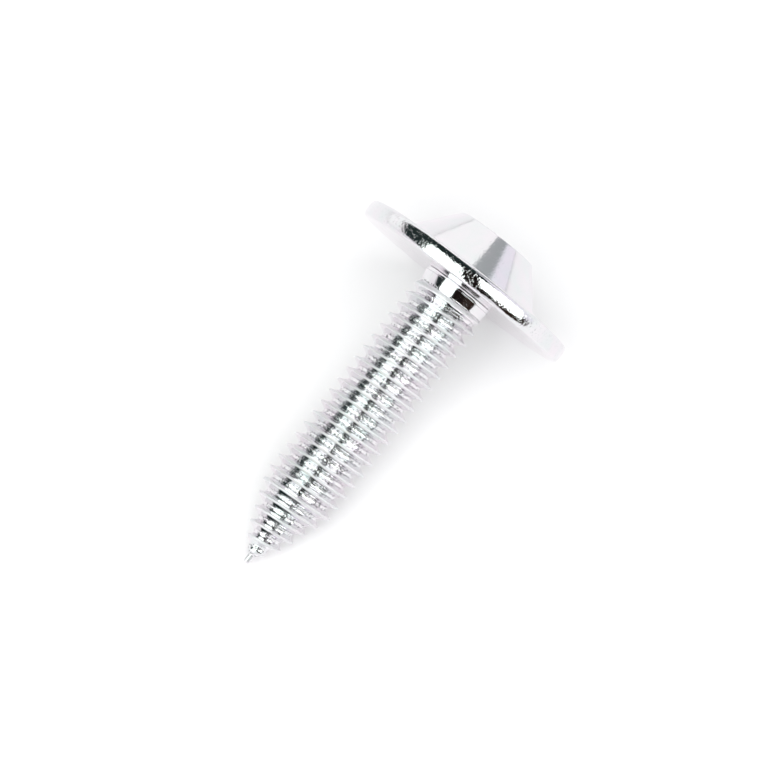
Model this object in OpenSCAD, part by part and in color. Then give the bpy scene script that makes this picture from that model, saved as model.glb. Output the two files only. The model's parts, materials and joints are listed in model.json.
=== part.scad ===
// Self-tapping screw with a wide round flange, a tapered head and a gimlet point.
// Sizes are in millimetres. The screw is drawn on its own axis, with the underside of the flange at zero
// and the point downwards, and is then laid down as it rests on a table.

/* [Thread] */

// Diameter over the crests of the thread
thread_diameter = 5.9; // [5.7:0.05:6.2]
// Distance along the axis from one crest to the next
thread_pitch = 1; // [1:0.05:1.25]
// Height of a crest above the root of the thread
thread_depth = 0.6; // [0.4:0.05:0.65]
// Width left flat on top of each crest
crest_flat = 0.12; // [0.06:0.01:0.2]
// Width left flat along the root of the thread
root_flat = 0.2; // [0.1:0.01:0.3]
// Turn of the thread about the axis of the screw, in degrees
thread_turn = 195; // [0:5:355]
// Straight facets in one turn of the thread
thread_facets = 44; // [24:4:48]

/* [Shank] */

// Length from the underside of the flange to the point
shank_length = 25.2; // [18:0.1:30]
// Diameter of the plain neck where the thread ends
neck_diameter = 5.35; // [5:0.05:5.4]
// Diameter to which the neck widens at its shoulder edge
shoulder_diameter = 5.6; // [5.45:0.05:5.8]
// Length of the neck
neck_length = 0.95; // [0.7:0.05:2]
// Radius of the fillet where the neck meets the flange
neck_fillet = 0.28; // [0.1:0.02:0.5]
// Length over which the thread fades into the neck
runout_length = 1.1; // [0.6:0.1:2]

/* [Point] */

// Diameter of the thin pin at the very end
pin_diameter = 0.5; // [0.4:0.02:0.7]
// Diameter of the pin where it meets the taper
pin_root_diameter = 0.54; // [0.5:0.02:0.7]
// Length of the pin
pin_length = 0.7; // [0.6:0.1:1.2]
// Angle between the axis and the short cone from the pin to the taper
pin_cone_angle = 45; // [30:5:60]
// Angle between the taper of the point and the axis
taper_angle = 20.2; // [18:0.2:26]
// Diameter the taper would have at the very end of the screw
taper_end_diameter = 0.34; // [0.3:0.02:0.6]
// Height of the thread on the taper
taper_depth = 0.51; // [0.35:0.01:0.55]
// Distance from the end at which the thread on the taper begins
taper_thread_start = 0.8; // [0.6:0.1:1.5]
// Length over which that thread rises to its height
taper_thread_rise = 1.3; // [0.6:0.1:2]

/* [Flange] */

// Diameter of the flange, from one facet of its rim to the facet opposite
flange_diameter = 17.8; // [14:0.2:20]
// Thickness of the flange
flange_thickness = 1.4; // [1.1:0.05:2]
// Rounding of the lower edge of the flange
flange_lower_round = 0.3; // [0.1:0.05:0.4]
// Rounding of the upper edge of the flange
flange_upper_round = 0.45; // [0.2:0.05:0.6]
// Straight facets round the rim of the flange, one of which faces straight down so that the screw lies still
flange_facets = 36; // [30:2:40]

/* [Head] */

// Diameter of the tapered head where it meets the flange
head_base_diameter = 11.6; // [9.6:0.1:12.4]
// Diameter of the flat top of the head, before its edge is rounded
head_top_diameter = 6.3; // [5.8:0.1:7]
// Height of the head above the flange
head_height = 3.2; // [2.8:0.1:4]
// Rounding of the top edge of the head
head_top_round = 0.25; // [0.1:0.05:0.4]
// Radius of the fillet between head and flange
head_fillet = 0.4; // [0.2:0.05:0.6]

/* [Drive recess] */

// Width of the six-lobe recess across opposite lobes
recess_lobe_width = 4.5; // [4.3:0.05:4.6]
// Width of the six-lobe recess across opposite flutes
recess_flute_width = 3.2; // [3:0.05:3.3]
// Radius of each lobe
recess_lobe_radius = 0.37; // [0.34:0.01:0.4]
// Depth of the straight part of the recess
recess_depth = 2.2; // [1.5:0.1:2.6]
// Depth of the shallow cone at the bottom of the recess
recess_cone_depth = 0.4; // [0.2:0.05:0.6]
// Width of the slope round the mouth of the recess, outside the lobes
recess_mouth = 0.15; // [0.05:0.05:0.2]
// Angle of that slope to the axis
recess_mouth_angle = 60; // [45:5:70]

/* [Hidden] */

$fn = 96;

// Colour of the zinc
zinc = [0.80, 0.81, 0.83];
// Facets in one rounded edge
round_steps = 5;
// Facets in one lobe or one flute of the recess
recess_steps = 6;
// How far a cut runs past the face it opens on
cut_past = 0.5;
// How far the start of the fillet lies inside the shoulder edge
shoulder_edge = 0.05;
// Step in radius between the end of the thread and the neck that covers it
neck_cover = 0.04;
// How far the threaded rod runs into the neck, and how much thinner it ends there
rod_overlap = 0.5;
rod_end_step = 0.5;
// How far the threaded rod starts inside the pin, and how thin it is there at least
rod_cover = 0.18;
rod_tip_radius = 0.1;
// How far the pin runs into the threaded rod
pin_overlap = 0.3;

crest_radius = thread_diameter / 2;
root_radius = crest_radius - thread_depth;
neck_radius = neck_diameter / 2;
shoulder_radius = shoulder_diameter / 2;
pin_radius = pin_diameter / 2;
pin_root_radius = pin_root_diameter / 2;
flange_radius = flange_diameter / 2;
head_top = flange_thickness + head_height;

// Points of an arc about a centre, from one angle to another.
function arc(centre, radius, from, to, steps) = [
    for (i = [0:steps])
        let (angle = from + (to - from) * i / steps)
        centre + radius * [cos(angle), sin(angle)]
];

// A list of points turned about the origin.
function turned(points, angle) = [
    for (p = points)
        [p[0] * cos(angle) - p[1] * sin(angle), p[0] * sin(angle) + p[1] * cos(angle)]
];

function clamp01(x) = min(1, max(0, x));
function mix(a, b, t) = a + (b - a) * t;

// Radius of the thread's root and crest, at a distance s from the very end of the screw.
// A short cone behind the pin meets the taper, which widens to the full root, and the thread fades out into
// the neck.
neck_start = shank_length - neck_length;
fade_radius = neck_radius - neck_cover;
function pin_cone(s) = max(rod_tip_radius, pin_root_radius + tan(pin_cone_angle) * (s - pin_length));
function taper_radius(s) = taper_end_diameter / 2 + tan(taper_angle) * s;
function point_radius(s) = min(taper_radius(s), pin_cone(s));
function taper_thread(s) = taper_depth * clamp01((s - taper_thread_start) / taper_thread_rise);
function full_root(s) = min(root_radius, point_radius(s));
function full_crest(s) = min(crest_radius, point_radius(s) + taper_thread(s));
function faded(s) = clamp01((s - neck_start + runout_length) / runout_length);
function inside_neck(s) = rod_end_step * clamp01((s - neck_start) / rod_overlap);
function root_at(s) = mix(full_root(s), fade_radius, faded(s)) - inside_neck(s);
function crest_at(s) = mix(full_crest(s), fade_radius, faded(s)) - inside_neck(s);

// The corners of the thread's section in one pitch: distance along the axis, and whether on the crest.
flank = (thread_pitch - crest_flat - root_flat) / 2;
section = [
    [0, false],
    [flank, true],
    [flank + crest_flat, true],
    [2 * flank + crest_flat, false]
];
corners = len(section);
crest_middle = flank + crest_flat / 2;

// The corners run up the screw in one long helical strip, and each turn of it joins the next along its edge.
rod_start = pin_length - rod_cover;
rod_end = neck_start + rod_overlap;
strip_turns = (rod_end - rod_start) / thread_pitch - 1;
strip_steps = ceil(strip_turns * thread_facets);

function strip_distance(i, k) = min(rod_end, rod_start + thread_pitch * i / thread_facets + section[k][0]);
function strip_point(i, k) =
    let (
        s = strip_distance(i, k),
        r = section[k][1] ? crest_at(s) : root_at(s),
        angle = thread_turn + 360 * i / thread_facets
    )
    [r * cos(angle), r * sin(angle), s - shank_length];

// Place of a corner in the list of points. The corner past the last one is the first of the next turn.
strip_count = (strip_steps + 1) * corners;
function strip_index(i, k) =
    k == corners ? strip_index(i + thread_facets, 0)
    : i <= strip_steps ? i * corners + k
    : strip_count + i - strip_steps - 1;

strip_points = [
    for (i = [0:strip_steps])
        for (k = [0:corners - 1])
            strip_point(i, k)
];
last_turn_points = [
    for (i = [strip_steps + 1:strip_steps + thread_facets])
        strip_point(i, 0)
];
strip_faces = [
    for (i = [0:strip_steps - 1])
        for (k = [0:corners - 1])
            each [
                [strip_index(i, k), strip_index(i, k + 1), strip_index(i + 1, k + 1)],
                [strip_index(i, k), strip_index(i + 1, k + 1), strip_index(i + 1, k)]
            ]
];

// Fans close the two ends, round the lower edge of the first turn and the upper edge of the last.
function edge_loop(i) = concat(
    [for (k = [0:corners]) strip_index(i, k)],
    [for (j = [thread_facets - 1:-1:1]) strip_index(i + j, 0)]
);
function fan(loop, apex) = [
    for (j = [0:len(loop) - 1])
        [loop[(j + 1) % len(loop)], loop[j], apex]
];
function turned_over(faces) = [for (f = faces) [f[1], f[0], f[2]]];

pin_inside = [0, 0, rod_start - shank_length];
neck_end = [0, 0, rod_end - shank_length];
rod_points = concat(strip_points, last_turn_points, [pin_inside, neck_end]);
rod_faces = concat(
    strip_faces,
    fan(edge_loop(0), len(rod_points) - 2),
    turned_over(fan(edge_loop(strip_steps), len(rod_points) - 1))
);

module threaded_rod() {
    polyhedron(points = rod_points, faces = rod_faces, convexity = 12);
}

// The pin at the very end of the screw, with a round tip.
pin_section = concat(
    arc([0, pin_radius], pin_radius, -90, 0, round_steps),
    [
        [pin_root_radius, pin_length],
        [pin_root_radius, pin_length + pin_overlap],
        [0, pin_length + pin_overlap]
    ]
);

module pin() {
    translate([0, 0, -shank_length])
        rotate_extrude()
            polygon(pin_section);
}

// Section of the neck and the tapered head, from the axis outwards. They join inside the flange.
head_angle = atan((head_base_diameter - head_top_diameter) / 2 / head_height);
round_setback = tan((90 - head_angle) / 2);
head_round_centre = [head_top_diameter / 2 - head_top_round * round_setback, head_top - head_top_round];
head_fillet_centre = [
    head_base_diameter / 2 + head_fillet * round_setback,
    flange_thickness + head_fillet
];
neck_fillet_centre = [shoulder_radius - shoulder_edge + neck_fillet, -neck_fillet];
head_section = concat(
    [[0, -neck_length], [neck_radius, -neck_length], [shoulder_radius, -neck_fillet]],
    arc(neck_fillet_centre, neck_fillet, 180, 90, round_steps),
    [[neck_fillet_centre[0], flange_thickness / 2], [head_fillet_centre[0], flange_thickness / 2]],
    arc(head_fillet_centre, head_fillet, 270, 180 + head_angle, round_steps),
    arc(head_round_centre, head_top_round, head_angle, 90, round_steps),
    [[0, head_top]]
);

module neck_and_head() {
    rotate_extrude(convexity = 4)
        polygon(head_section);
}

// The rounded edge of the flange, from its underside to its top, is set up at each corner of the rim.
lower_round_centre = [flange_radius - flange_lower_round, flange_lower_round];
upper_round_centre = [flange_radius - flange_upper_round, flange_thickness - flange_upper_round];
flange_edge = concat(
    arc(lower_round_centre, flange_lower_round, -90, 0, round_steps),
    arc(upper_round_centre, flange_upper_round, 0, 90, round_steps)
);
edge_rows = len(flange_edge);
facet_angle = 360 / flange_facets;
corner_ratio = 1 / cos(facet_angle / 2);
flange_points = [
    for (i = [0:flange_facets - 1])
        let (angle = facet_angle * (i + 0.5))
        for (p = flange_edge)
            [p[0] * corner_ratio * cos(angle), p[0] * corner_ratio * sin(angle), p[1]]
];
function flange_index(i, row) = (i % flange_facets) * edge_rows + row;
flange_faces = concat(
    [
        for (i = [0:flange_facets - 1])
            for (row = [0:edge_rows - 2])
                [
                    flange_index(i, row),
                    flange_index(i, row + 1),
                    flange_index(i + 1, row + 1),
                    flange_index(i + 1, row)
                ]
    ],
    [
        [for (i = [0:flange_facets - 1]) flange_index(i, 0)],
        [for (i = [flange_facets - 1:-1:0]) flange_index(i, edge_rows - 1)]
    ]
);

module flange() {
    polyhedron(points = flange_points, faces = flange_faces, convexity = 2);
}

// Outline of the six-lobe recess: each lobe runs smoothly into the flute beside it.
lobe_step = 60;
lobe_centre = recess_lobe_width / 2 - recess_lobe_radius;
flute_edge = recess_flute_width / 2;
lobe_to_flute = lobe_centre * cos(lobe_step / 2);
flute_radius =
    (pow(lobe_centre, 2) + pow(flute_edge, 2) - 2 * flute_edge * lobe_to_flute - pow(recess_lobe_radius, 2))
    / (2 * recess_lobe_radius + 2 * lobe_to_flute - 2 * flute_edge);
flute_centre = flute_edge + flute_radius;
lobe_half_angle = atan2(
    flute_centre * sin(lobe_step / 2),
    flute_centre * cos(lobe_step / 2) - lobe_centre
);
flute_half_angle = lobe_half_angle - lobe_step / 2;
lobe_arc = arc([lobe_centre, 0], recess_lobe_radius, -lobe_half_angle, lobe_half_angle, recess_steps);
flute_arc = turned(
    arc([flute_centre, 0], flute_radius, 180 + flute_half_angle, 180 - flute_half_angle, recess_steps),
    lobe_step / 2
);
inner_flute = [for (i = [1:recess_steps - 1]) flute_arc[i]];
recess_outline = [
    for (angle = [0:lobe_step:359])
        each turned(concat(lobe_arc, inner_flute), angle)
];

module drive_recess() {
    mouth_radius = recess_lobe_width / 2 + recess_mouth;
    mouth_depth = (mouth_radius - flute_edge) / tan(recess_mouth_angle);
    past_radius = mouth_radius + cut_past * tan(recess_mouth_angle);
    translate([0, 0, head_top - recess_depth])
        linear_extrude(recess_depth + cut_past)
            polygon(recess_outline);
    translate([0, 0, head_top - recess_depth - recess_cone_depth])
        cylinder(h = recess_cone_depth, r1 = 0, r2 = flute_edge);
    translate([0, 0, head_top - mouth_depth])
        cylinder(h = mouth_depth + cut_past, r1 = flute_edge, r2 = past_radius);
}

// Pose at rest: the lower edge of the flange and the lowest crest of the thread both touch the table.
first_crest = rod_start + crest_middle - thread_pitch * thread_turn / 360;
low_crests = [
    for (s = [first_crest:thread_pitch:neck_start])
        if (s > pin_length)
            s
];
function lean_on(s) =
    let (
        along = shank_length - s + flange_lower_round,
        across = flange_radius - flange_lower_round - crest_at(s)
    )
    atan2(across, along) + asin(flange_lower_round / norm([along, across]));
rest_lean = min([for (s = low_crests) lean_on(s)]);
rest_height = flange_lower_round * (1 - sin(rest_lean)) + lower_round_centre[0] * cos(rest_lean);
reach_back = -(shank_length - pin_radius) * cos(rest_lean) - pin_radius;
reach_front = head_round_centre[1] * cos(rest_lean) + head_round_centre[0] * sin(rest_lean) + head_top_round;

module screw() {
    color(zinc)
        translate([-(reach_back + reach_front) / 2, 0, rest_height])
            rotate([0, 90 - rest_lean, 0])
                difference() {
                    union() {
                        neck_and_head();
                        flange();
                        threaded_rod();
                        pin();
                    }
                    drive_recess();
                }
}

screw();
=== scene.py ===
"""A zinc-plated self-tapping screw lying on a white table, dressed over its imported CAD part."""
import json
import math

import bpy
from mathutils import Matrix, Vector


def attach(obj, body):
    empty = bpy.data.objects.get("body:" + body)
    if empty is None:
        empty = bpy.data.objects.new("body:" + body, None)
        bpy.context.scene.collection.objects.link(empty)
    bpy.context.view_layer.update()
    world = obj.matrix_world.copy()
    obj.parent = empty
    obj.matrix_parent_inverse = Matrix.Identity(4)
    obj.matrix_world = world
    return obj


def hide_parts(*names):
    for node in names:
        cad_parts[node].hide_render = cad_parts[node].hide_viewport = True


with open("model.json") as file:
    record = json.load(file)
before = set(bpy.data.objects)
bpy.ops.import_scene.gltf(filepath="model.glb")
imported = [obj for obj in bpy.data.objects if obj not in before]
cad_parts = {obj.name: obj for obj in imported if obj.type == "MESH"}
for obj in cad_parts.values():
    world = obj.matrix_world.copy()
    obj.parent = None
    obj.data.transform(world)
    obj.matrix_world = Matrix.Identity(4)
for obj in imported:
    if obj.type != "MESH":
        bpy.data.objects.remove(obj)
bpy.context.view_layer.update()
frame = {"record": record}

MM = 0.001

# Sizes of the screw in millimetres. They are those of the part's source, apart from the slope of the flanks
# and the root's flat that it leaves, the roundings, the bulge of the rim, and the steps and rings that only
# divide the mesh. The screw is modelled on its own axis, with the underside of the flange at height 0 and the
# point downwards.
PITCH = 1.0
CREST_RADIUS = 2.95
THREAD_DEPTH = 0.6
ROOT_RADIUS = CREST_RADIUS - THREAD_DEPTH
CREST_FLAT = 0.12
FLANK_ANGLE = 28.6
FLANK = THREAD_DEPTH * math.tan(math.radians(FLANK_ANGLE))
ROOT_FLAT = PITCH - CREST_FLAT - 2 * FLANK
FIRST_CREST = 0.378
ROOT_ROUNDING = 0.04
CREST_ROUNDING = 0.058
SECTION_STEP = 0.1

SHANK_LENGTH = 25.2
NECK_RADIUS = 2.675
NECK_LENGTH = 0.95
NECK_START = SHANK_LENGTH - NECK_LENGTH
SHOULDER_RADIUS = 2.8
SHOULDER_STEP = 0.05
NECK_FILLET = 0.28
RUNOUT_LENGTH = 1.1

PIN_RADIUS = 0.25
PIN_ROOT_RADIUS = 0.27
PIN_LENGTH = 0.7
TAPER_END_RADIUS = 0.17
TAPER_SLOPE = math.tan(math.radians(20.2))
TAPER_DEPTH = 0.51
TAPER_THREAD_START = 0.8
TAPER_THREAD_RISE = 1.3

FLANGE_RADIUS = 8.9
FLANGE_THICKNESS = 1.4
RIM_BULGE = 0.07
RIM_WIDEST = FLANGE_THICKNESS * 0.42
HEAD_BASE_RADIUS = 5.8
HEAD_TOP_RADIUS = 3.15
HEAD_TOP = FLANGE_THICKNESS + 3.2

LOBE_CENTRE = 1.88
LOBE_RADIUS = 0.37
FLUTE_EDGE = 1.6
RECESS_DEPTH = 2.2
RECESS_FLOOR = HEAD_TOP - RECESS_DEPTH
CONE_DEPTH = 0.4
MOUTH_RADIUS = 2.4
MOUTH_SLOPE = math.tan(math.radians(30))
WALL_RING = 1.9

# Steps round the axis, the same on the thread and the head so that their edges meet point to point.
TURN_STEPS = 120

# The view of the photograph: the camera's height above the table in degrees, how far the screw points away
# from the picture's right-hand side, the width of the picture in millimetres, where the middle of the
# flange's underside falls, in millimetres from the middle of the picture, and the lens and sensor in
# millimetres.
VIEW_ELEVATION = 65.84
VIEW_TURN = 49.96
VIEW_WIDTH = 55.79
FLANGE_RIGHT = 5.44
FLANGE_UP = 6.93
LENS = 200
SENSOR = 36

# Strength with which the table glows where it is seen or mirrored.
TABLE_GLOW = 0.11


def rounded(corners, steps=4):
    """Points of an outline whose corners are given as (radius, height, length of rounding)."""
    points = []
    for i, (radius, height, rounding) in enumerate(corners):
        corner = Vector((radius, height))
        if rounding == 0:
            points.append(corner)
            continue
        before = Vector(corners[i - 1][:2])
        after = Vector(corners[i + 1][:2])
        start = corner + (before - corner).normalized() * rounding
        end = corner + (after - corner).normalized() * rounding
        for k in range(steps + 1):
            t = k / steps
            points.append(start.lerp(corner, t).lerp(corner.lerp(end, t), t))
    return points


def divided(points, longest):
    """The same outline, with points added so that no step is longer than asked."""
    steps = [points[0]]
    for before, after in zip(points, points[1:]):
        count = math.ceil((after - before).length / longest)
        steps += [before.lerp(after, k / count) for k in range(1, count + 1)]
    return steps


def draw_outline(name, points):
    """A chain of edges through the points, drawn in the plane of X and Z by extruding a single vertex."""
    bpy.ops.object.select_all(action="DESELECT")
    bpy.ops.mesh.primitive_plane_add(size=MM)
    outline = bpy.context.object
    outline.name = name
    bpy.ops.object.mode_set(mode="EDIT")
    bpy.ops.mesh.select_all(action="SELECT")
    bpy.ops.mesh.merge(type="CENTER")
    place = Vector((0, 0))
    for i, point in enumerate(points):
        step = (point - place) * MM
        move = (step.x, 0, step.y)
        if i == 0:
            bpy.ops.transform.translate(value=move)
        else:
            bpy.ops.mesh.extrude_vertices_move(TRANSFORM_OT_translate={"value": move})
        place = point
    bpy.ops.object.mode_set(mode="OBJECT")
    return outline


def clamp01(x):
    return min(1, max(0, x))


def root_and_crest(s):
    """Radius of the thread's root and of its crest, at a distance s from the very end of the screw."""
    if s < PIN_RADIUS:
        pin = math.sqrt(PIN_RADIUS ** 2 - (PIN_RADIUS - s) ** 2)
        return pin, pin
    along_pin = clamp01((s - PIN_RADIUS) / (PIN_LENGTH - PIN_RADIUS))
    pin = PIN_RADIUS + (PIN_ROOT_RADIUS - PIN_RADIUS) * along_pin
    point = min(TAPER_END_RADIUS + TAPER_SLOPE * s, pin + max(0, s - PIN_LENGTH))
    raised = TAPER_DEPTH * clamp01((s - TAPER_THREAD_START) / TAPER_THREAD_RISE)
    root = min(ROOT_RADIUS, point)
    crest = min(CREST_RADIUS, point + raised)
    faded = clamp01((s - NECK_START + RUNOUT_LENGTH) / RUNOUT_LENGTH)
    return root + (NECK_RADIUS - root) * faded, crest + (NECK_RADIUS - crest) * faded


def roll_thread():
    """The threaded shank: one pitch of the thread's section screwed up the axis, then drawn in to the point
    and faded out at the neck."""
    low = FIRST_CREST - SHANK_LENGTH - PITCH * 1.5
    section = divided(rounded([
        (ROOT_RADIUS, low, 0),
        (ROOT_RADIUS, low + ROOT_FLAT / 2, ROOT_ROUNDING),
        (CREST_RADIUS, low + ROOT_FLAT / 2 + FLANK, CREST_ROUNDING),
        (CREST_RADIUS, low + ROOT_FLAT / 2 + FLANK + CREST_FLAT, CREST_ROUNDING),
        (ROOT_RADIUS, low + PITCH - ROOT_FLAT / 2, ROOT_ROUNDING),
        (ROOT_RADIUS, low + PITCH, 0),
    ], steps=3), SECTION_STEP)
    shank = draw_outline("shank", section)
    bpy.ops.object.modifier_add(type="SCREW")
    turns = shank.modifiers[-1]
    turns.screw_offset = PITCH * MM
    turns.iterations = math.ceil(SHANK_LENGTH / PITCH)
    turns.steps = TURN_STEPS
    turns.render_steps = TURN_STEPS
    bpy.ops.object.modifier_apply(modifier=turns.name)
    for v in shank.data.vertices:
        across = Vector((v.co.x, v.co.y, 0)) / MM
        height = (across.length - ROOT_RADIUS) / THREAD_DEPTH
        s = v.co.z / MM + SHANK_LENGTH
        if s <= 0:
            radius, s = 0, 0
        elif s >= NECK_START:
            radius, s = NECK_RADIUS, NECK_START
        else:
            root, crest = root_and_crest(s)
            radius = root + (crest - root) * height
        v.co = (across.normalized() * radius + Vector((0, 0, s - SHANK_LENGTH))) * MM
    return shank


def lobe_outline(angle):
    """Distance from the axis to the wall of the six-lobe recess, at an angle round the axis in radians."""
    beside_lobe = abs((angle + math.pi / 6) % (math.pi / 3) - math.pi / 6)
    lobe_to_flute = LOBE_CENTRE * math.cos(math.pi / 6)
    squares = LOBE_CENTRE ** 2 + FLUTE_EDGE ** 2 - 2 * FLUTE_EDGE * lobe_to_flute - LOBE_RADIUS ** 2
    flute_radius = squares / (2 * (LOBE_RADIUS + lobe_to_flute - FLUTE_EDGE))
    flute_centre = FLUTE_EDGE + flute_radius
    flute = Vector((flute_centre * math.cos(math.pi / 6), flute_centre * math.sin(math.pi / 6)))
    lobe = Vector((LOBE_CENTRE, 0))
    join = lobe + (flute - lobe).normalized() * LOBE_RADIUS
    if beside_lobe < math.atan2(join.y, join.x):
        return LOBE_CENTRE * math.cos(beside_lobe) + math.sqrt(
            LOBE_RADIUS ** 2 - (LOBE_CENTRE * math.sin(beside_lobe)) ** 2)
    beside_flute = math.pi / 6 - beside_lobe
    return flute_centre * math.cos(beside_flute) - math.sqrt(
        flute_radius ** 2 - (flute_centre * math.sin(beside_flute)) ** 2)


def turn_head():
    """Neck, flange and tapered head: their section spun round the axis, then the recess shaped into six
    lobes."""
    section = rounded([
        (NECK_RADIUS, -NECK_LENGTH, 0),
        (SHOULDER_RADIUS, -NECK_FILLET, 0.04),
        (SHOULDER_RADIUS - SHOULDER_STEP, -NECK_FILLET + 0.02, 0.01),
        (SHOULDER_RADIUS - SHOULDER_STEP, 0, 0.25),
        (FLANGE_RADIUS - RIM_BULGE, 0, 0.3),
        (FLANGE_RADIUS, RIM_WIDEST, 0.25),
        (FLANGE_RADIUS - RIM_BULGE, FLANGE_THICKNESS, 0.45),
        (HEAD_BASE_RADIUS, FLANGE_THICKNESS, 0.2),
        (HEAD_TOP_RADIUS, HEAD_TOP, 0.14),
        (MOUTH_RADIUS, HEAD_TOP, 0.04),
        (WALL_RING, HEAD_TOP - (MOUTH_RADIUS - WALL_RING) * MOUTH_SLOPE, 0),
        (WALL_RING, RECESS_FLOOR, 0),
        (FLUTE_EDGE - 0.1, RECESS_FLOOR, 0),
        (0, RECESS_FLOOR - CONE_DEPTH, 0),
    ])
    head = draw_outline("head", section)
    bpy.ops.object.mode_set(mode="EDIT")
    bpy.ops.mesh.select_all(action="SELECT")
    bpy.ops.mesh.spin(steps=TURN_STEPS, angle=math.tau, center=(0, 0, 0), axis=(0, 0, 1))
    bpy.ops.object.mode_set(mode="OBJECT")
    for v in head.data.vertices:
        across = Vector((v.co.x, v.co.y, 0)) / MM
        if abs(across.length - WALL_RING) > 0.01:
            continue
        radius = lobe_outline(math.atan2(across.y, across.x))
        height = RECESS_FLOOR
        if v.co.z / MM > RECESS_FLOOR + RECESS_DEPTH / 2:
            height = HEAD_TOP - (MOUTH_RADIUS - radius) * MOUTH_SLOPE
        v.co = (across.normalized() * radius + Vector((0, 0, height))) * MM
    return head


def recess_mount():
    """The record's place for the drive recess."""
    return next(m for m in frame["record"]["mounts"] if m["name"] == "drive_recess")


def screw_axis():
    """Direction of the lying screw, from its point to its head."""
    return Vector(recess_mount()["axis"])


def lay_down(screw):
    """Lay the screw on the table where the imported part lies, by the record's place for the drive recess."""
    axis = screw_axis()
    across = Vector((0, 1, 0))
    down = across.cross(axis)
    under_flange = Vector(recess_mount()["pos_m"]) - axis * HEAD_TOP * MM
    turn = Matrix((down, across, axis)).transposed().to_4x4()
    screw.data.transform(Matrix.Translation(under_flange) @ turn)
    return under_flange


def build_screw():
    """The whole screw as one closed mesh."""
    shank = roll_thread()
    head = turn_head()
    bpy.ops.object.select_all(action="DESELECT")
    shank.select_set(True)
    head.select_set(True)
    bpy.context.view_layer.objects.active = head
    bpy.ops.object.join()
    screw = bpy.context.object
    screw.name = "plated_screw"
    bpy.ops.object.mode_set(mode="EDIT")
    bpy.ops.mesh.select_all(action="SELECT")
    bpy.ops.mesh.remove_doubles(threshold=0.001 * MM)
    bpy.ops.mesh.dissolve_degenerate(threshold=0.0005 * MM)
    bpy.ops.mesh.select_all(action="SELECT")
    bpy.ops.mesh.normals_make_consistent(inside=False)
    bpy.ops.object.mode_set(mode="OBJECT")
    return screw


# Depth of the pitting, which also sets how dark the painted shade in the pits is, and mattness of the
# plating, by
# place: pitted most at the roots of the thread and least on its flanks, matt on the crests and half as matt
# on the pin.
PIN_FINISH = (0.1, 0.5)
ROOT_FINISH = (1.0, 0)
FLANK_FINISH = (0.03, 0)
CREST_FINISH = (0.3, 1)
RIM_FINISH = (0.3, 0)
HEAD_FINISH = (0.08, 0)
# How far the finish of the roots and of the crests reaches onto the flanks, in millimetres.
FINISH_REACH = 0.05


def finish_at(radius, height):
    """Pitting, with the painted shade in its pits, and mattness at a distance from the axis and a height
    above the underside of the flange.
    """
    if height < PIN_LENGTH - SHANK_LENGTH:
        return PIN_FINISH
    if height < -NECK_LENGTH - 0.02:
        root, crest = root_and_crest(height + SHANK_LENGTH)
        if radius < root + FINISH_REACH:
            return ROOT_FINISH
        if radius < crest - FINISH_REACH:
            return FLANK_FINISH
        return CREST_FINISH
    if radius > FLANGE_RADIUS - 0.5 and 0.01 < height < FLANGE_THICKNESS - 0.01:
        return RIM_FINISH
    return HEAD_FINISH


def mark_finish(screw):
    """Keep the depth of the pitting, which also sets the painted shade in the pits, and the matt places on
    the mesh for the material to read.
    """
    screw.data.attributes.new("pitting_and_pit_shade", "FLOAT", "POINT")
    screw.data.attributes.new("matt", "FLOAT", "POINT")
    pitting_and_pit_shade = screw.data.attributes["pitting_and_pit_shade"].data
    matt = screw.data.attributes["matt"].data
    for i, v in enumerate(screw.data.vertices):
        pitting_and_pit_shade[i].value, matt[i].value = finish_at(math.hypot(v.co.x, v.co.y) / MM, v.co.z / MM)


def new_material(name):
    material = bpy.data.materials.new(name)
    material.use_nodes = True
    return material, material.node_tree.nodes, material.node_tree.links


def calculate(nodes, links, operation, *inputs):
    """Result of a Math node whose inputs are sockets or plain numbers."""
    node = nodes.new("ShaderNodeMath")
    node.operation = operation
    for socket, value in zip(node.inputs, inputs):
        if isinstance(value, (int, float)):
            socket.default_value = value
        else:
            links.new(value, socket)
    return node.outputs["Value"]


def noise(nodes, links, place, scale, detail):
    """Result of a noise pattern on the given coordinates."""
    pattern = nodes.new("ShaderNodeTexNoise")
    pattern.inputs["Scale"].default_value = scale
    pattern.inputs["Detail"].default_value = detail
    links.new(place, pattern.inputs["Vector"])
    return pattern.outputs["Fac"]


def marked(nodes, name):
    """What the mesh keeps under a name."""
    node = nodes.new("ShaderNodeAttribute")
    node.attribute_name = name
    return node.outputs["Fac"]


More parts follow.
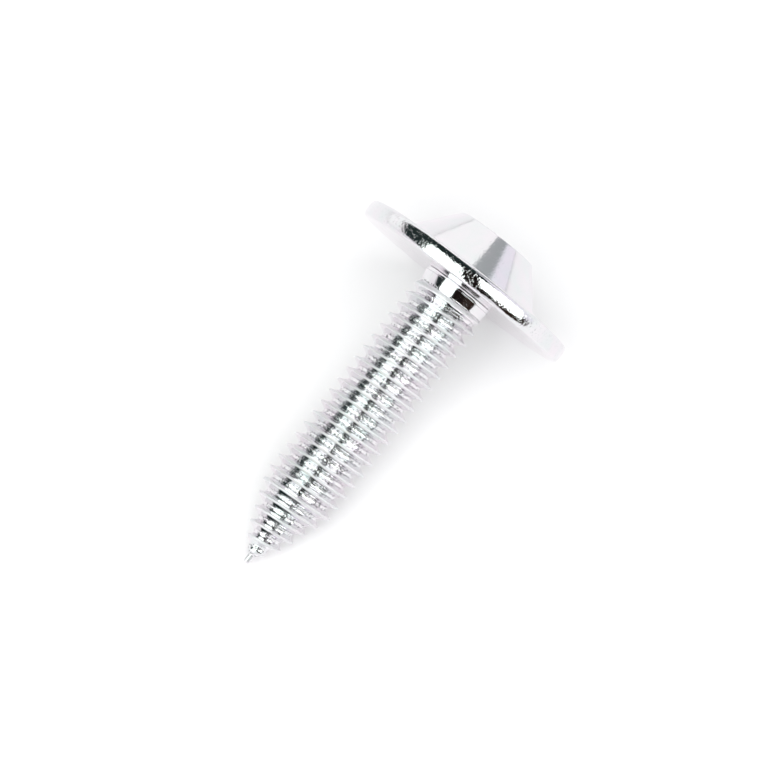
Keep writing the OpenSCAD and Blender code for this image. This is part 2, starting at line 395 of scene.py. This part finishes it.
def bright_zinc():
    """Bright zinc plating: pale metal with a faint pink and blue passivation and a finely pitted surface,
    with painted shade darkening the pits.
    """
    material, nodes, links = new_material("bright_zinc")
    shader = nodes["Principled BSDF"]
    shader.inputs["Metallic"].default_value = 1.0
    shader.inputs["Specular Tint"].default_value = (1.0, 0.97, 0.99, 1)
    place = nodes.new("ShaderNodeTexCoord").outputs["Object"]
    pitting_and_pit_shade = marked(nodes, "pitting_and_pit_shade")

    haze = nodes.new("ShaderNodeMapRange")
    haze.inputs["From Min"].default_value = 0.3
    haze.inputs["From Max"].default_value = 0.7
    haze.inputs["To Min"].default_value = 0.05
    haze.inputs["To Max"].default_value = 0.12
    links.new(noise(nodes, links, place, 1500, 4), haze.inputs["Value"])
    roughness = calculate(nodes, links, "MULTIPLY_ADD", marked(nodes, "matt"), 0.45, haze.outputs["Result"])
    links.new(roughness, shader.inputs["Roughness"])

    pits = nodes.new("ShaderNodeMapRange")
    pits.interpolation_type = "SMOOTHSTEP"
    pits.inputs["From Min"].default_value = 0.32
    pits.inputs["From Max"].default_value = 0.42
    links.new(noise(nodes, links, place, 6200, 1), pits.inputs["Value"])
    grain = noise(nodes, links, place, 6000, 1)
    bump = nodes.new("ShaderNodeBump")
    bump.inputs["Distance"].default_value = 0.032 * MM
    relief = calculate(nodes, links, "MULTIPLY_ADD", pits.outputs["Result"], 0.6, grain)
    links.new(relief, bump.inputs["Height"])
    links.new(pitting_and_pit_shade, bump.inputs["Strength"])
    links.new(bump.outputs["Normal"], shader.inputs["Normal"])

    tint = nodes.new("ShaderNodeValToRGB")
    tint.color_ramp.elements[0].position = 0.35
    tint.color_ramp.elements[0].color = (0.76, 0.78, 0.785, 1)
    tint.color_ramp.elements[1].position = 0.65
    tint.color_ramp.elements[1].color = (0.80, 0.775, 0.80, 1)
    links.new(noise(nodes, links, place, 700, 3), tint.inputs["Fac"])
    # Painted shade: the colour turns dark grey inside the pits, most where the pitting is deepest.
    painted_pit_shade = calculate(nodes, links, "SUBTRACT", 1.0, pits.outputs["Result"])
    pit_shade_strength = calculate(nodes, links, "POWER", pitting_and_pit_shade, 2)
    colour = nodes.new("ShaderNodeMixRGB")
    colour.inputs["Color2"].default_value = (0.2, 0.21, 0.21, 1)
    links.new(calculate(nodes, links, "MULTIPLY", painted_pit_shade, pit_shade_strength), colour.inputs["Fac"])
    links.new(tint.outputs["Color"], colour.inputs["Color1"])
    links.new(colour.outputs["Color"], shader.inputs["Base Color"])
    return material


def white_table():
    """The white table top that the screw lies on, which glows faintly where it is seen or mirrored."""
    bpy.ops.object.select_all(action="DESELECT")
    bpy.ops.mesh.primitive_plane_add(size=6)
    table = bpy.context.object
    table.name = "white_table"
    material, nodes, links = new_material("white_table_top")
    shader = nodes["Principled BSDF"]
    shader.inputs["Base Color"].default_value = (0.93, 0.93, 0.93, 1)
    shader.inputs["Roughness"].default_value = 0.9
    shader.inputs["Specular IOR Level"].default_value = 0.1
    ray = nodes.new("ShaderNodeLightPath").outputs
    seen = calculate(nodes, links, "MAXIMUM", ray["Is Camera Ray"], ray["Is Glossy Ray"])
    glow = nodes.new("ShaderNodeEmission")
    links.new(calculate(nodes, links, "MULTIPLY", seen, TABLE_GLOW), glow.inputs["Strength"])
    surface = nodes.new("ShaderNodeAddShader")
    links.new(shader.outputs["BSDF"], surface.inputs[0])
    links.new(glow.outputs["Emission"], surface.inputs[1])
    links.new(surface.outputs["Shader"], nodes["Material Output"].inputs["Surface"])
    table.data.materials.append(material)


def picture_axes():
    """Directions of the picture's right-hand side, of its top and towards the camera."""
    turn = math.radians(VIEW_TURN)
    rise = math.radians(VIEW_ELEVATION)
    right = Vector((math.cos(turn), -math.sin(turn), 0))
    back = Vector((math.sin(turn), math.cos(turn), 0))
    up = back * math.sin(rise) + Vector((0, 0, 1)) * math.cos(rise)
    return right, up, right.cross(up)


def photo_camera(under_flange):
    """The camera of the photograph, placed by the middle of the underside of the flange."""
    right, up, toward = picture_axes()
    middle = under_flange - (right * FLANGE_RIGHT + up * FLANGE_UP) * MM
    distance = VIEW_WIDTH * MM * LENS / SENSOR
    bpy.ops.object.camera_add()
    camera = bpy.context.object
    camera.name = "photo_camera"
    camera.data.lens = LENS
    camera.data.sensor_width = SENSOR
    camera.data.clip_start = 0.01
    turn = Matrix((right, up, toward)).transposed().to_4x4()
    camera.matrix_world = Matrix.Translation(middle + toward * distance) @ turn
    bpy.context.scene.camera = camera


def area_light(name, place, facing, along, length, width, energy):
    """A rectangular lamp turned towards the screw, with its length along the given direction. Sizes are in
    metres and the energy in watts."""
    bpy.ops.object.light_add(type="AREA")
    lamp = bpy.context.object
    lamp.name = name
    lamp.data.shape = "RECTANGLE"
    lamp.data.size = length
    lamp.data.size_y = width
    lamp.data.energy = energy
    long_side = (along - facing * along.dot(facing)).normalized()
    turn = Matrix((long_side, facing.cross(long_side), facing)).transposed().to_4x4()
    lamp.matrix_world = Matrix.Translation(place) @ turn
    return lamp


def soft_box(name, along, around, half_length, half_width, energy):
    """A soft box one metre away. Its place is given in degrees along the screw towards the head and round the
    screw to the right, from the camera, and its half sizes are in degrees too."""
    right, up, toward = picture_axes()
    axis = screw_axis()
    axis_in_picture = (axis - toward * axis.dot(toward)).normalized()
    across = axis_in_picture.cross(toward)
    lean, turn = math.radians(along), math.radians(around)
    facing = axis_in_picture * math.sin(lean)
    facing += (across * math.sin(turn) + toward * math.cos(turn)) * math.cos(lean)
    length, width = (2 * math.tan(math.radians(half)) for half in (half_length, half_width))
    box = area_light(name, facing, facing, axis_in_picture, length, width, energy)
    box.data.color = (0.93, 1.0, 0.96)
    box.visible_diffuse = False


def studio_lights():
    """Two soft boxes that the metal mirrors, one to the left and one to the right, and two wide lights for
    the table that it does not mirror, one in the direction of the camera and one overhead."""
    soft_box("left_soft_box", -22.5, -28, 35.5, 22.5, 9.4)
    soft_box("right_soft_box", 18, 38.5, 18, 25.5, 6.2)
    right, up, toward = picture_axes()
    above = Vector((0, 0, 1))
    overhead = (above - right * 0.35).normalized()
    front_light = area_light("front_table_light", toward, toward, right, 1.4, 1.4, 11.5)
    overhead_light = area_light("overhead_table_light", overhead * 2, overhead, right, 3, 3, 16)
    front_light.visible_glossy = False
    overhead_light.visible_glossy = False


# The walls of the studio, all the way round from the front: degrees from the back wall towards the right, and
# colour.
WALLS = [
    (-180, (0.92, 0.90, 0.94)),
    (-75, (0.95, 0.94, 0.97)),
    (-50, (1.16, 1.16, 1.16)),
    (39, (1.16, 1.16, 1.16)),
    (40.5, (0.45, 0.47, 0.48)),
    (55, (0.41, 0.43, 0.44)),
    (57, (0.98, 0.96, 1.04)),
    (90, (1.0, 0.98, 1.05)),
    (118, (0.93, 0.91, 0.99)),
    (126, (0.03, 0.018, 0.014)),
    (168, (0.03, 0.018, 0.014)),
    (175, (0.92, 0.90, 0.94)),
    (180, (0.92, 0.90, 0.94)),
]
# Colours of the ceiling, how steeply its edge rises to the right, and from where: it is level to the left of
# that.
BACK_CEILING = (0.02, 0.03, 0.03)
FRONT_CEILING = (0.012, 0.008, 0.007)
CEILING_SLOPE = 0.3
LEVEL_FROM = -0.3


def studio_world():
    """The room round the table: pale walls with a grey strip at the right of the back and a dark stretch at
    the right of the front, and a dark ceiling whose edge rises to the right."""
    right, up, toward = picture_axes()
    above = Vector((0, 0, 1))
    back = above.cross(right)
    world = bpy.data.worlds.new("studio_room")
    bpy.context.scene.world = world
    world.use_nodes = True
    nodes, links = world.node_tree.nodes, world.node_tree.links
    direction = nodes.new("ShaderNodeTexCoord").outputs["Generated"]

    parts = []
    for axis in (right, back, above):
        part = nodes.new("ShaderNodeVectorMath")
        part.operation = "DOT_PRODUCT"
        part.inputs[1].default_value = axis
        links.new(direction, part.inputs[0])
        parts.append(part.outputs["Value"])
    bearing = calculate(nodes, links, "ARCTAN2", parts[0], parts[1])
    round_room = nodes.new("ShaderNodeMapRange")
    round_room.inputs["From Min"].default_value = -math.pi
    round_room.inputs["From Max"].default_value = math.pi
    links.new(bearing, round_room.inputs["Value"])
    walls = nodes.new("ShaderNodeValToRGB")
    stops = walls.color_ramp.elements
    for i, (degrees, colour) in enumerate(WALLS):
        place = (degrees + 180) / 360
        if i == 0 or i == len(WALLS) - 1:
            stop = stops[-1 if i else 0]
            stop.position = place
        else:
            stop = stops.new(place)
        stop.color = (*colour, 1)
    links.new(round_room.outputs["Result"], walls.inputs["Fac"])

    to_the_back = nodes.new("ShaderNodeMapRange")
    to_the_back.inputs["From Min"].default_value = -0.2
    to_the_back.inputs["From Max"].default_value = 0.2
    links.new(parts[1], to_the_back.inputs["Value"])
    ceiling = nodes.new("ShaderNodeMixRGB")
    ceiling.inputs["Color1"].default_value = (*FRONT_CEILING, 1)
    ceiling.inputs["Color2"].default_value = (*BACK_CEILING, 1)
    links.new(to_the_back.outputs["Result"], ceiling.inputs["Fac"])

    to_the_right = calculate(nodes, links, "MAXIMUM", parts[0], LEVEL_FROM)
    above_slope = calculate(nodes, links, "MULTIPLY_ADD", to_the_right, -CEILING_SLOPE, parts[2])
    top_of_wall = nodes.new("ShaderNodeMapRange")
    top_of_wall.inputs["From Min"].default_value = 0.42
    top_of_wall.inputs["From Max"].default_value = 0.52
    links.new(above_slope, top_of_wall.inputs["Value"])
    room = nodes.new("ShaderNodeMixRGB")
    links.new(top_of_wall.outputs["Result"], room.inputs["Fac"])
    links.new(walls.outputs["Color"], room.inputs["Color1"])
    links.new(ceiling.outputs["Color"], room.inputs["Color2"])
    links.new(room.outputs["Color"], nodes["Background"].inputs["Color"])


def dress():
    screw = build_screw()
    mark_finish(screw)
    under_flange = lay_down(screw)
    screw.data.materials.clear()
    screw.data.materials.append(bright_zinc())
    bpy.ops.object.select_all(action="DESELECT")
    screw.select_set(True)
    bpy.context.view_layer.objects.active = screw
    bpy.ops.object.shade_smooth_by_angle(angle=math.radians(35))
    bpy.ops.object.modifier_add(type="WEIGHTED_NORMAL")
    flat_flanks = screw.modifiers[-1]
    flat_flanks.weight = 90
    flat_flanks.keep_sharp = True
    bpy.ops.object.modifier_apply(modifier=flat_flanks.name)
    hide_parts("screw")
    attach(screw, "root")
    return under_flange


bpy.context.scene.view_settings.view_transform = "Standard"
under_flange = dress()
white_table()
studio_lights()
studio_world()
photo_camera(under_flange)
